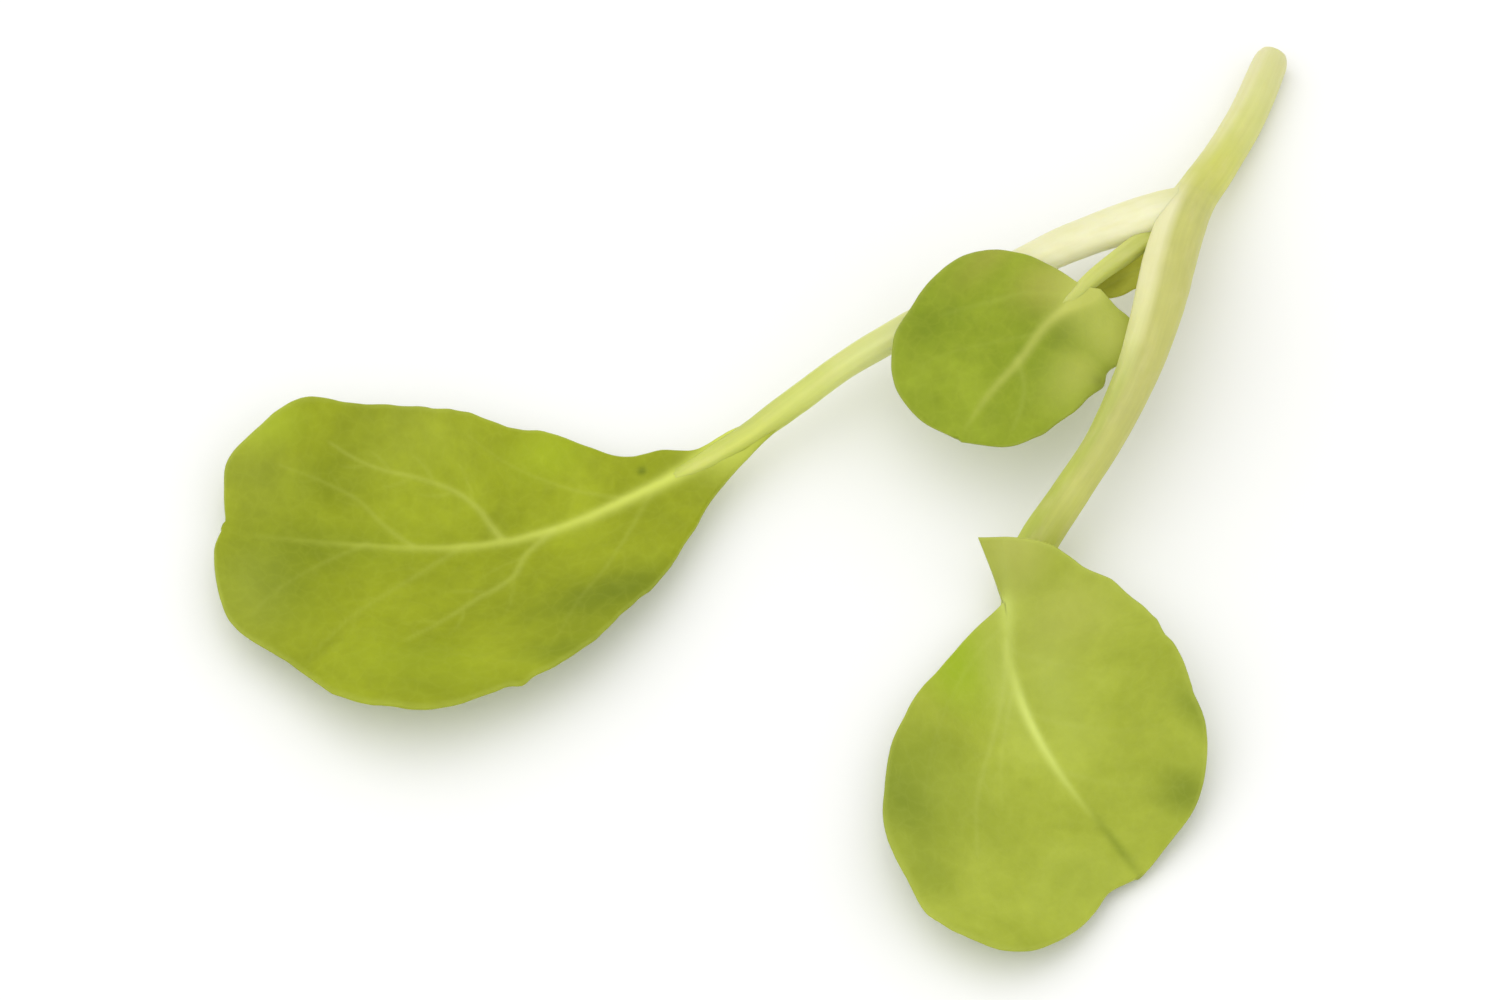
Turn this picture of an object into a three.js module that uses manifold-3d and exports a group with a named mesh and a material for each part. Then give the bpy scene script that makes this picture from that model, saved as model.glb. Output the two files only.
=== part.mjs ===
// One cut pak choi seedling, lying on a flat surface: a short stem, two large spoon-shaped leaves,
// one small round leaf and the folded bud leaf at the growing tip. Millimetres, +Z up.
// Seen with +Y away from the viewer, the stem's cut end is at the far right, one large leaf lies to
// the left and the other comes towards the viewer.

import * as THREE from "three";
import { mergeVertices } from "three/addons/utils/BufferGeometryUtils.js";
import Module from "manifold-3d";

const wasm = await Module();
wasm.setup();

// Driving dimensions, in millimetres
const clearance = 0.3; // between neighbouring pieces
const bladeThickness = 0.62;
const floorDepth = 20; // of the block that stands for the surface below
const floorWidth = 200;
const middleOfOutline = [0.29, -0.74]; // which is set at the origin

// Colours
const cream = "#e0dd9a";
const paleGreen = "#cdd477";
const leafGreen = "#97a52b";
const lightLeafGreen = "#a5b43c";
const budGreen = "#7c8528";

// The stem and the stalks. path: centre line. halfWidth, halfDepth: half sizes across and through,
// spaced evenly along it. upper: the way the channelled upper side faces, at the root and at the end.
// channel: the channel's depth as a share of halfDepth. endShare: size of the last ring where an end
// is rounded off.
const stem = {
  path: [[29.87, 28.75, 0.92], [28.2, 24.3, 1.2], [26.6, 20.7, 2.0], [25.0, 17.3, 3.2]],
  halfWidth: [1.0, 1.12, 1.26, 1.42],
  halfDepth: [1.0, 1.1, 1.2, 1.35],
  upper: [[0, 0, 1], [0, 0, 1]],
  channel: 0,
  endShare: 0.55,
  sides: 16,
  steps: 18,
};

const leftStalk = {
  path: [
    [24.4, 17.2, 3.3],
    [22.1, 16.4, 3.5],
    [17.7, 14.4, 3.9],
    [11.95, 10.85, 4.0],
    [5.9, 7.1, 3.5],
    [2.4, 4.5, 2.9],
    [-0.4, 2.6, 2.43],
  ],
  halfWidth: [1.3, 1.15, 1.05, 0.97, 0.94, 1.0],
  halfDepth: [0.95, 0.9, 0.85, 0.8, 0.75, 0.7],
  upper: [[0, 0.2, 1], [0, 0, 1]],
  channel: 0.3,
  endShare: 1,
  sides: 14,
  steps: 26,
};

const lowerStalk = {
  path: [
    [24.2, 17.2, 3.3],
    [23.8, 12.6, 5.2],
    [23.0, 8.7, 6.2],
    [21.9, 4.7, 6.3],
    [20.2, 1.0, 5.3],
    [18.2, -1.7, 3.6],
    [16.1, -4.0, 1.8],
    [14.75, -6.7, 1.0],
  ],
  halfWidth: [1.5, 1.7, 1.57, 1.38, 1.25, 1.18, 1.1, 0.98],
  halfDepth: [1.2, 1.15, 1.05, 0.95, 0.85, 0.78, 0.66, 0.5],
  upper: [[-0.2, -0.2, 1], [0, 0, 1]],
  channel: 0.35,
  endShare: 1,
  sides: 16,
  steps: 32,
};

const smallStalk = {
  path: [[22.6, 15.5, 3.6], [21.3, 13.8, 4.3], [20.1, 12.4, 4.8], [19.35, 11.5, 5.0]],
  halfWidth: [0.68, 0.64, 0.58, 0.5],
  halfDepth: [0.54, 0.5, 0.45, 0.38],
  upper: [[0, 0, 1], [0, 0, 1]],
  channel: 0.25,
  endShare: 1,
  sides: 10,
  steps: 12,
};

// The blades. midrib: from the stalk to the tip. left, right: the edges as [along, across] from that
// midrib, seen from the stalk with the upper side up. upper: the way the upper side faces. rise: how
// steeply each half climbs from the midrib, in radians, from base to tip. lobeLift: how steeply a lobe
// behind the midrib's start climbs. cup: curve across the blade. wave: how far the edges go up and
// down, and how often. teeth: blunt teeth of each edge. tipNotch: how far the midrib's end stays behind
// the tip. rib: the midrib's half width and how far it stands out below, at the base and at the tip.
const leftBlade = {
  midrib: [
    [-0.8, 2.4, 2.4],
    [-3.9, 0.6, 1.9],
    [-7.3, -1.0, 1.5],
    [-10.0, -2.1, 1.2],
    [-13.6, -3.0, 0.86],
    [-17.2, -3.4, 0.74],
    [-23.3, -3.2, 0.9],
    [-27.7, -2.9, 1.5],
    [-30.1, -2.6, 2.0],
  ],
  left: [
    [0, 1.2], [2.9, 2.5], [5.0, 4.1], [7.5, 6.0], [9.6, 7.3], [11.6, 9.0], [14.4, 10.5],
    [17.4, 12.1], [19.6, 12.5], [23.2, 11.4], [26.2, 8.9], [28.8, 7.4], [30.2, 4.4], [30.7, 0.3],
  ],
  right: [
    [0, 0.9], [2.2, 1.1], [3.7, 1.8], [5.9, 2.3], [8.6, 4.8], [11.6, 6.2], [15.2, 7.5],
    [19.1, 8.0], [22.8, 8.3], [26.4, 8.1], [29.2, 6.3], [30.8, 4.3], [30.7, 2.0], [30.7, 0.3],
  ],
  upper: [[0, 0, 1], [0, 0, 1]],
  rise: { left: [0.05, 0.16, 0.1], right: [0.1, 0.2, 0.12] },
  lobeLift: { left: 0, right: 0 },
  cup: 0.008,
  wave: { depth: 0.3, count: 3.2, phase: 0.4 },
  teeth: { depth: 0.14, count: 9 },
  tipNotch: 0.1,
  rib: { halfWidth: 0.8, depth: [0.95, 0.15] },
  rows: 40,
  columns: 7,
};

const lowerBlade = {
  midrib: [
    [14.5, -7.6, 1.65],
    [14.85, -11.3, 1.4],
    [15.9, -14.7, 1.0],
    [17.55, -17.9, 0.72],
    [19.6, -21.1, 0.6],
    [22.0, -24.8, 0.72],
  ],
  left: [
    [-3.2, -1.5], [-3.2, 0.4], [-2.4, 2.7], [-0.9, 4.7], [0.5, 6.6], [2.4, 8.1], [5.8, 8.8],
    [9.6, 8.9], [13.0, 8.3], [15.7, 6.8], [17.6, 4.5], [18.6, 1.8], [19.1, 0.3],
  ],
  right: [
    [0, 0.5], [1.3, 1.5], [3.0, 3.3], [4.5, 5.5], [5.8, 7.2], [7.3, 8.7], [9.2, 10.4], [11.4, 11.5],
    [14.6, 12.0], [17.0, 11.6], [19.2, 10.3], [20.4, 8.2], [20.5, 5.4], [20.0, 3.3], [19.3, 1.8],
    [19.1, 0.3],
  ],
  upper: [[0, 0, 1], [0, 0, 1]],
  rise: { left: [0.3, 0.26, 0.12], right: [0.1, 0.12, 0.1] },
  lobeLift: { left: 0.8, right: 0 },
  cup: 0.006,
  wave: { depth: 0.25, count: 2.6, phase: 1.7 },
  teeth: { depth: 0.12, count: 8 },
  tipNotch: 0.1,
  rib: { halfWidth: 0.7, depth: [0.7, 0.25] },
  rows: 36,
  columns: 8,
};

const smallBlade = {
  midrib: [
    [19.0, 10.9, 5.2],
    [16.6, 8.2, 5.5],
    [14.9, 5.8, 5.6],
    [13.3, 3.5, 5.5],
    [11.8, 1.0, 5.3],
  ],
  left: [
    [-0.6, 0.7], [-0.4, 2.0], [-0.3, 3.4], [1.2, 4.6], [3.0, 4.5], [4.6, 4.8], [6.3, 4.6],
    [8.0, 4.2], [9.6, 3.7], [11.2, 2.7], [12.3, 0.3],
  ],
  right: [
    [0, 0.6], [0.2, 2.0], [0.8, 3.9], [2.0, 5.5], [3.8, 6.5], [6.0, 6.7], [8.2, 6.7],
    [10.0, 5.9], [11.5, 4.5], [12.4, 2.3], [12.3, 0.3],
  ],
  upper: [[0.05, 0, 1], [0.05, 0, 1]],
  rise: { left: [-0.05, -0.05, 0], right: [0.05, 0.05, 0.05] },
  lobeLift: { left: 0, right: 0 },
  cup: -0.006,
  wave: { depth: 0.12, count: 2.2, phase: 0.8 },
  teeth: { depth: 0.08, count: 7 },
  tipNotch: 0.1,
  rib: { halfWidth: 0.5, depth: [0.4, 0.1] },
  rows: 24,
  columns: 5,
};

const budBlade = {
  midrib: [[22.9, 13.65, 3.7], [21.4, 12.65, 3.7], [20.3, 11.95, 3.6], [19.5, 11.45, 3.5]],
  left: [[0, 0.5], [1.4, 1.1], [2.8, 1.1], [4.0, 0.5]],
  right: [[0, 0.5], [1.4, 0.9], [2.8, 0.9], [4.0, 0.5]],
  upper: [[0, -0.5, 1], [0, -0.4, 1]],
  rise: { left: [0.5, 0.6, 0.5], right: [0.5, 0.6, 0.5] },
  lobeLift: { left: 0, right: 0 },
  cup: 0,
  wave: { depth: 0, count: 1, phase: 0 },
  teeth: { depth: 0, count: 1 },
  tipNotch: 0.1,
  rib: { halfWidth: 0.3, depth: [0.3, 0.1] },
  rows: 10,
  columns: 3,
};

function curveThrough(points) {
  const vectors = points.map(([x, y, z = 0]) => new THREE.Vector3(x, y, z));
  return new THREE.CatmullRomCurve3(vectors, false, "centripetal");
}

// A smooth value at t, 0 to 1, from a short list of values spaced evenly along a piece
function valueAlong(values, t) {
  const spline = new THREE.SplineCurve(values.map((value, i) => new THREE.Vector2(i, value)));
  return spline.getPoint(THREE.MathUtils.clamp(t, 0, 1)).y;
}

// The direction along a piece at t, its own left, and its upper normal
function frameAt(curve, upper, t) {
  const forward = curve.getTangentAt(t);
  const up = new THREE.Vector3(...upper[0]).lerp(new THREE.Vector3(...upper[1]), t);
  const left = new THREE.Vector3().crossVectors(up, forward).normalize();
  const normal = new THREE.Vector3().crossVectors(forward, left).normalize();
  return { forward, left, normal };
}

function geometryFrom(points, triangles) {
  const geometry = new THREE.BufferGeometry();
  const numbers = points.flatMap((point) => point.toArray());
  geometry.setAttribute("position", new THREE.Float32BufferAttribute(numbers, 3));
  geometry.setIndex(triangles);
  return geometry;
}

// A closed surface through rings of points, with a fan over each end
function loftGeometry(rings) {
  const sides = rings[0].length;
  const points = rings.flat();
  const triangles = [];
  for (let i = 0; i < rings.length - 1; i++) {
    for (let j = 0; j < sides; j++) {
      const a = i * sides + j;
      const b = i * sides + ((j + 1) % sides);
      triangles.push(a, b, a + sides, b, b + sides, a + sides);
    }
  }
  const sumOf = (ring) => ring.reduce((sum, point) => sum.add(point), new THREE.Vector3());
  const first = points.push(sumOf(rings[0]).divideScalar(sides)) - 1;
  const last = points.push(sumOf(rings.at(-1)).divideScalar(sides)) - 1;
  const lastRing = (rings.length - 1) * sides;
  for (let j = 0; j < sides; j++) {
    const next = (j + 1) % sides;
    triangles.push(first, next, j);
    triangles.push(last, lastRing + j, lastRing + next);
  }
  return geometryFrom(points, triangles);
}

// The stem or a stalk, or, with a margin, the room that it takes up with its clearance
function stalkGeometry(shape, margin = 0) {
  const curve = curveThrough(shape.path);
  const channelShare = 0.5; // half width of the channel, as a share of the stalk's
  const roundedFrom = 0.88;
  const rings = [];
  for (let i = 0; i <= shape.steps; i++) {
    const t = i / shape.steps;
    const { forward, left, normal } = frameAt(curve, shape.upper, t);
    const intoEnd = Math.max(0, (t - roundedFrom) / (1 - roundedFrom));
    const share = Math.sqrt(1 - intoEnd ** 2 * (1 - shape.endShare ** 2));
    const halfWidth = valueAlong(shape.halfWidth, t) * share + margin;
    const halfDepth = valueAlong(shape.halfDepth, t) * share + margin;
    const beyond = i === 0 ? -margin : i === shape.steps ? margin : 0;
    const middle = curve.getPointAt(t).addScaledVector(forward, beyond);
    const ring = [];
    for (let j = 0; j < shape.sides; j++) {
      const angle = (j / shape.sides) * 2 * Math.PI;
      const across = Math.cos(angle);
      const height = Math.sin(angle);
      const dip = height > 0 ? shape.channel * Math.exp(-((across / channelShare) ** 2)) : 0;
      const point = middle.clone().addScaledVector(left, halfWidth * across);
      ring.push(point.addScaledVector(normal, halfDepth * (height - dip)));
    }
    rings.push(ring);
  }
  return loftGeometry(rings);
}

// The point of a blade's middle surface at [along, across]
function bladePoint(shape, curve, half, along, across) {
  const length = curve.getLength();
  const t = THREE.MathUtils.clamp(along / length, 0, 1);
  const { forward, left, normal } = frameAt(curve, shape.upper, t);
  const toLeft = half === "left" ? 1 : -1;
  const rise = valueAlong(shape.rise[half], t);
  const widest = Math.max(...shape[half].map((corner) => corner[1]));
  const edgeShare = (Math.max(0, across) / widest) ** 2;
  const halfPhase = half === "left" ? 0 : 2.1; // so that the two edges wave apart
  const turn = 2 * Math.PI * shape.wave.count * t + shape.wave.phase + halfPhase;
  const wave = shape.wave.depth * edgeShare * Math.sin(turn);
  const lift = shape.lobeLift[half] * Math.max(0, -along);
  return curve
    .getPointAt(t)
    .addScaledVector(forward, along - t * length)
    .addScaledVector(left, toLeft * across * Math.cos(rise))
    .addScaledVector(normal, across * Math.sin(rise) + shape.cup * across ** 2 + wave + lift);
}

// The upper normal of one half of a blade at [along, across]
function halfNormal(shape, curve, half, along, across) {
  const step = 0.05;
  const at = (a, b) => bladePoint(shape, curve, half, a, b);
  const forward = at(along + step, across).sub(at(along - step, across));
  const outward = at(along, across + step).sub(at(along, across - step));
  return (half === "left" ? forward.cross(outward) : outward.cross(forward)).normalize();
}

// A leaf blade as a thin solid: its rows fan out from the midrib to the two edges
function bladeGeometry(shape) {
  const curve = curveThrough(shape.midrib);
  const edges = { left: curveThrough(shape.left), right: curveThrough(shape.right) };
  const ribLength = curve.getLength() - shape.tipNotch;
  const wide = 2 * shape.columns + 1;
  const above = [];
  const below = [];
  for (let i = 0; i <= shape.rows; i++) {
    const t = i / shape.rows;
    const toothed = 1 - Math.abs(((t * shape.teeth.count) % 1) * 2 - 1);
    const tooth = shape.teeth.depth * toothed * Math.sin(Math.PI * t);
    const ribDepth = THREE.MathUtils.lerp(...shape.rib.depth, t);
    for (let j = 0; j < wide; j++) {
      const half = j < shape.columns ? "left" : "right";
      const out = Math.abs(j - shape.columns) / shape.columns;
      const edge = edges[half].getPoint(t);
      const along = THREE.MathUtils.lerp(t * ribLength, edge.x, out);
      const across = (edge.y + tooth) * out;
      const middle = bladePoint(shape, curve, half, along, across);
      const normal = halfNormal(shape, curve, half, along, across);
      if (out === 0) normal.add(halfNormal(shape, curve, "left", along, across)).normalize();
      const fromRib = Math.hypot(across, Math.min(0, along));
      const rib = ribDepth * Math.exp(-((fromRib / shape.rib.halfWidth) ** 2));
      above.push(middle.clone().addScaledVector(normal, bladeThickness / 2));
      below.push(middle.clone().addScaledVector(normal, -bladeThickness / 2 - rib));
    }
  }
  const under = above.length;
  const triangles = [];
  const wall = (a, b) => triangles.push(a, a + under, b, b, a + under, b + under);
  for (let i = 0; i < shape.rows; i++) {
    for (let j = 0; j < wide - 1; j++) {
      const a = i * wide + j;
      const b = a + 1;
      const c = a + wide;
      const d = c + 1;
      triangles.push(a, b, c, b, d, c);
      triangles.push(under + a, under + c, under + b, under + b, under + c, under + d);
    }
    wall((i + 1) * wide, i * wide);
    wall((i + 1) * wide - 1, (i + 2) * wide - 1);
  }
  for (let j = 0; j < wide - 1; j++) {
    wall(j, j + 1);
    wall(shape.rows * wide + j + 1, shape.rows * wide + j);
  }
  return geometryFrom([...above, ...below], triangles);
}

function solidFrom(geometry) {
  const bare = geometry.clone().deleteAttribute("normal").deleteAttribute("uv");
  const merged = mergeVertices(bare, 1e-4);
  const mesh = new wasm.Mesh({
    numProp: 3,
    vertProperties: new Float32Array(merged.attributes.position.array),
    triVerts: new Uint32Array(merged.index.array),
  });
  return new wasm.Manifold(mesh);
}

// What is left of a piece beside its neighbours' rooms and above the surface below
function fitted(solid, ...rooms) {
  const block = new THREE.BoxGeometry(floorWidth, floorWidth, floorDepth).translate(0, 0, -floorDepth / 2);
  let rest = solid.subtract(solidFrom(block));
  for (const room of rooms) {
    rest = rest.subtract(room);
  }
  const parts = rest.decompose();
  return parts.sort((a, b) => b.volume() - a.volume())[0];
}

function pieceMesh(name, solid, colour, roughness) {
  const made = solid.getMesh();
  const geometry = new THREE.BufferGeometry();
  geometry.setAttribute("position", new THREE.BufferAttribute(made.vertProperties, 3));
  geometry.setIndex(new THREE.BufferAttribute(made.triVerts, 1));
  geometry.computeVertexNormals();
  const material = new THREE.MeshStandardMaterial({ color: colour, roughness, metalness: 0 });
  const mesh = new THREE.Mesh(geometry, material);
  mesh.name = name;
  return mesh;
}

const stalkSolid = (shape) => solidFrom(stalkGeometry(shape));
const bladeSolid = (shape) => solidFrom(bladeGeometry(shape));
const roomOf = (shape) => solidFrom(stalkGeometry(shape, clearance));

const stemRoom = roomOf(stem);
const lowerStalkRoom = roomOf(lowerStalk);
const leftStalkRoom = roomOf(leftStalk);
const smallStalkRoom = roomOf(smallStalk);
const stalkRooms = [lowerStalkRoom, leftStalkRoom, smallStalkRoom];

const stemSolid = fitted(stalkSolid(stem));
const lowerStalkSolid = fitted(stalkSolid(lowerStalk), stemRoom);
const leftStalkSolid = fitted(stalkSolid(leftStalk), stemRoom, lowerStalkRoom);
const smallStalkSolid = fitted(stalkSolid(smallStalk), stemRoom, lowerStalkRoom, leftStalkRoom);
const leftBladeSolid = fitted(bladeSolid(leftBlade), leftStalkRoom);
const lowerBladeSolid = fitted(bladeSolid(lowerBlade), lowerStalkRoom);
const smallBladeSolid = fitted(bladeSolid(smallBlade), ...stalkRooms);
const budSolid = fitted(bladeSolid(budBlade), stemRoom, ...stalkRooms);

const seedling = new THREE.Group();
seedling.add(
  pieceMesh("cut_stem", stemSolid, cream, 0.5),
  pieceMesh("left_leaf_stalk", leftStalkSolid, paleGreen, 0.5),
  pieceMesh("lower_leaf_stalk", lowerStalkSolid, cream, 0.5),
  pieceMesh("small_leaf_stalk", smallStalkSolid, paleGreen, 0.5),
  pieceMesh("left_leaf_blade", leftBladeSolid, leafGreen, 0.55),
  pieceMesh("lower_leaf_blade", lowerBladeSolid, lightLeafGreen, 0.55),
  pieceMesh("small_leaf_blade", smallBladeSolid, leafGreen, 0.55),
  pieceMesh("bud_leaf", budSolid, budGreen, 0.55),
);
seedling.position.set(-middleOfOutline[0], -middleOfOutline[1], 0);

export default seedling;
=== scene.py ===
import math

import bpy
import numpy as np
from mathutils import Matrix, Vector, noise


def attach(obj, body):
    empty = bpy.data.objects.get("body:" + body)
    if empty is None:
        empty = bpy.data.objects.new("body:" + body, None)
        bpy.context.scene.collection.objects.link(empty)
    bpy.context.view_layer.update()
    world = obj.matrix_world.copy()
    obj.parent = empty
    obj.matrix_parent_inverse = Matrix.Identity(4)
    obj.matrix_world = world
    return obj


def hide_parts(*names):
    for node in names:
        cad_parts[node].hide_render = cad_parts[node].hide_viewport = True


# One cut pak choi seedling lying on a pale table: a short stem, two large leaves, a small round one
# and the folded bud leaf. The lists below are in millimetres, +Z up, as the seedling was drawn.

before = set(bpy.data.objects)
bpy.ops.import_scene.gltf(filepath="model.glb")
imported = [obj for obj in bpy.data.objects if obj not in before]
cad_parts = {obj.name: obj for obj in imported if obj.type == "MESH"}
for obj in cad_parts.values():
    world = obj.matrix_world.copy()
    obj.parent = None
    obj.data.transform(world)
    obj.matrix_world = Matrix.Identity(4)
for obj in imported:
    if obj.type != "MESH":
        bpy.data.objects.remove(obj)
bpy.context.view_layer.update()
print("frame loaded:", len(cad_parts), "nodes")

mm = 0.001
middleOfOutline = (0.29, -0.74)  # this point of the drawing lies at the origin
tableGap = 0.004  # mm that the lowest skin stays above the table


# Smooth lines through a few given points

pastEnds = 10.0  # mm that a line goes on straight past each end


def smoothLine(points, fine=40):  # a curve through all the points that makes no loops
    p = np.array([list(q) + [0.0] * (3 - len(q)) for q in points], float)
    p = np.vstack([2 * p[0] - p[1], p, 2 * p[-1] - p[-2]])
    pieces = []
    for a, b, c, d in zip(p[:-3], p[1:-2], p[2:-1], p[3:]):
        knots = np.cumsum([0.0] + [np.linalg.norm(v - u) ** 0.5 for u, v in ((a, b), (b, c), (c, d))])
        t = np.linspace(knots[1], knots[2], fine, endpoint=False)[:, None]
        k0, k1, k2, k3 = knots
        ab = ((k1 - t) * a + (t - k0) * b) / (k1 - k0)
        bc = ((k2 - t) * b + (t - k1) * c) / (k2 - k1)
        cd = ((k3 - t) * c + (t - k2) * d) / (k3 - k2)
        abc = ((k2 - t) * ab + (t - k0) * bc) / (k2 - k0)
        bcd = ((k3 - t) * bc + (t - k1) * cd) / (k3 - k1)
        pieces.append(((k2 - t) * abc + (t - k1) * bcd) / (k2 - k1))
    samples = np.vstack(pieces + [p[-2:-1]])
    steps = np.linalg.norm(np.diff(samples, axis=0), axis=1)
    reach = np.concatenate([[0.0], np.cumsum(steps)])
    before = samples[0] + (samples[0] - samples[1]) / steps[0] * pastEnds
    after = samples[-1] + (samples[-1] - samples[-2]) / steps[-1] * pastEnds
    return {
        "samples": samples,
        "length": reach[-1],
        "extended": np.vstack([before, samples, after]),
        "reach": np.concatenate([[-pastEnds], reach, [reach[-1] + pastEnds]]),
    }


def pointAt(line, share):  # share of the length, 0 to 1
    at = np.asarray(share, float) * line["length"]
    return np.stack([np.interp(at, line["reach"], line["extended"][:, k]) for k in range(3)], -1)


def pointByStep(line, share):  # share of the given points passed, 0 to 1
    count = len(line["samples"])
    at = np.asarray(share, float) * (count - 1)
    return np.stack([np.interp(at, np.arange(count), line["samples"][:, k]) for k in range(3)], -1)


def unit(v):
    return v / np.maximum(np.linalg.norm(v, axis=-1, keepdims=True), 1e-12)


def smoothValue(values, share):  # a smooth value from a short list, evenly spaced
    v = np.array([values[0]] + list(values) + [values[-1]], float)
    at = np.clip(np.asarray(share, float), 0, 1) * (len(values) - 1)
    i = np.minimum(at.astype(int), len(values) - 2)
    w = at - i
    a, b, c, d = v[i], v[i + 1], v[i + 2], v[i + 3]
    s, e = (c - a) / 2, (d - b) / 2
    return (2 * b - 2 * c + s + e) * w**3 + (3 * c - 3 * b - 2 * s - e) * w**2 + s * w + b


def axesAlong(line, upper, share):  # a piece's directions to the left and upwards
    share = np.asarray(share, float)
    step = 0.004  # of the length
    forward = unit(pointAt(line, share + step) - pointAt(line, share - step))
    lean = np.clip(share, 0, 1)[..., None]
    up = np.array(upper[0], float) * (1 - lean) + np.array(upper[1], float) * lean
    left = unit(np.cross(up, forward))
    return left, unit(np.cross(forward, left))


def roughness3d(points, size, octaves=3, shift=0.0):  # soft noise, about -1 to 1, size in mm
    flat = np.asarray(points, float).reshape(-1, 3) / size + shift
    values = [noise.fractal(Vector(p), 1.0, 2.0, octaves, noise_basis="PERLIN_ORIGINAL") for p in flat]
    return np.array(values).reshape(np.asarray(points).shape[:-1])


# Meshes from grids of points

def makePiece(name, points, faces, skins, materials, marks):
    placed = (points - np.array([*middleOfOutline, 0.0])) * mm
    placed[:, 2] = np.maximum(placed[:, 2], tableGap * mm)
    mesh = bpy.data.meshes.new(name)
    mesh.from_pydata(placed.tolist(), [], faces)
    for material in materials:
        mesh.materials.append(material)
    mesh.polygons.foreach_set("material_index", skins)
    mesh.polygons.foreach_set("use_smooth", [True] * len(faces))
    for mark, values in marks.items():
        values = np.asarray(values, np.float32)
        kind, field = ("FLOAT_VECTOR", "vector") if values.ndim == 2 else ("FLOAT", "value")
        mesh.attributes.new(mark, kind, "POINT").data.foreach_set(field, values.ravel())
    mesh.validate()
    piece = bpy.data.objects.new(name, mesh)
    bpy.context.scene.collection.objects.link(piece)
    return piece


def ringFaces(rings, around):  # faces between closed rings of points
    faces = []
    for i in range(rings - 1):
        for j in range(around):
            a = i * around + j
            b = i * around + (j + 1) % around
            faces.append((a, b, b + around, a + around))
    return faces


def standIn(piece, node):
    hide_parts(node)
    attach(piece, "root")
    print(piece.name, "made:", len(piece.data.polygons), "faces")


# Shader helpers

def linear(hexColour):  # sRGB hex to a linear colour
    parts = [int(hexColour[i : i + 2], 16) / 255 for i in (1, 3, 5)]
    return [c / 12.92 if c <= 0.04045 else ((c + 0.055) / 1.055) ** 2.4 for c in parts] + [1.0]


def newMaterial(name):
    material = bpy.data.materials.new(name)
    material.use_nodes = True
    tree = material.node_tree
    return material, tree, tree.nodes["Principled BSDF"]


def addNode(tree, kind, **settings):
    node = tree.nodes.new(kind)
    for key, value in settings.items():
        setattr(node, key, value)
    return node


def setInputs(node, **values):
    for key, value in values.items():
        node.inputs[key.replace("_", " ")].default_value = value
    return node


def readMark(tree, mark, output="Fac"):
    return addNode(tree, "ShaderNodeAttribute", attribute_name=mark).outputs[output]


def stretch(tree, source, scale):  # coordinates scaled a different amount each way
    node = addNode(tree, "ShaderNodeMapping")
    node.inputs["Scale"].default_value = scale
    tree.links.new(source, node.inputs["Vector"])
    return node.outputs["Vector"]


def noiseOf(tree, source, scale, detail=4.0, rough=0.55, distortion=0.0):
    node = addNode(tree, "ShaderNodeTexNoise")
    setInputs(node, Scale=scale, Detail=detail, Roughness=rough, Distortion=distortion)
    tree.links.new(source, node.inputs["Vector"])
    return node.outputs["Fac"]


def ramp(tree, source, stops):  # stops: place and colour, or place and grey
    node = addNode(tree, "ShaderNodeValToRGB")
    elements = node.color_ramp.elements
    while len(elements) < len(stops):
        elements.new(0.5)
    for element, (place, value) in zip(elements, stops):
        element.position = place
        element.color = linear(value) if isinstance(value, str) else (value, value, value, 1)
    tree.links.new(source, node.inputs["Fac"])
    return node.outputs["Color"]


def blendIn(tree, below, above, factor, how="MIX"):
    node = addNode(tree, "ShaderNodeMix", data_type="RGBA", blend_type=how)
    for socket, value in ((node.inputs[6], below), (node.inputs[7], above), (node.inputs[0], factor)):
        if isinstance(value, str):
            socket.default_value = linear(value)
        elif isinstance(value, (int, float)):
            socket.default_value = value if socket.type == "VALUE" else (value, value, value, 1)
        else:
            tree.links.new(value, socket)
    return node.outputs[2]


def maths(tree, operation, a, b=0.0):
    node = addNode(tree, "ShaderNodeMath", operation=operation)
    for socket, value in zip(node.inputs, (a, b)):
        if isinstance(value, (int, float)):
            socket.default_value = value
        else:
            tree.links.new(value, socket)
    return node.outputs[0]


def addBump(tree, shader, layers):  # layers: height, strength, distance in mm
    normal = None
    for height, strength, distance in layers:
        node = addNode(tree, "ShaderNodeBump")
        setInputs(node, Strength=strength, Distance=distance * mm)
        tree.links.new(height, node.inputs["Height"])
        if normal is not None:
            tree.links.new(normal, node.inputs["Normal"])
        normal = node.outputs["Normal"]
    tree.links.new(normal, shader.inputs["Normal"])


# The stem and the stalks

stalkFinish = {
    "gloss": (0.38, 0.5),  # roughness, from the smoothest places to the roughest
    "specular": 0.3,
    "coat": (0.08, 0.3),  # weight and roughness
    "glow": 0.5,
    "depthOfGlow": 0.4,  # mm that light travels inside
    "glowReach": (1.0, 0.85, 0.32),  # how far red, green and blue light travel, against each other
    "blush": "#d3cd8c",  # faint warm patches
    "blushStretch": (0.35, 1.0, 1.0),  # a small number draws marks out along the stalk
    "fibres": 0.16,
    "fibreStretch": (0.14, 3.2, 3.2),
    "fibreRelief": (0.35, 0.04),  # strength, and height in mm
    "cellStretch": (1.1, 9.0, 9.0),
    "cellRelief": (0.3, 0.02),
    "clouds": 0.25,
    "cloudScale": 0.55,
    "wings": [(0.0, 1.0), (0.22, 0.0), (0.78, 0.0), (1.0, 1.0)],  # the two edges, from flank to flank
}

stalkForm = {  # what all stalks share
    "channelWidth": 0.5,  # of the half width
    "ridgeSway": 0.7,  # how unevenly the fine ridges stand round the stalk
    "lumpSize": 3.1,  # mm
}


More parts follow.
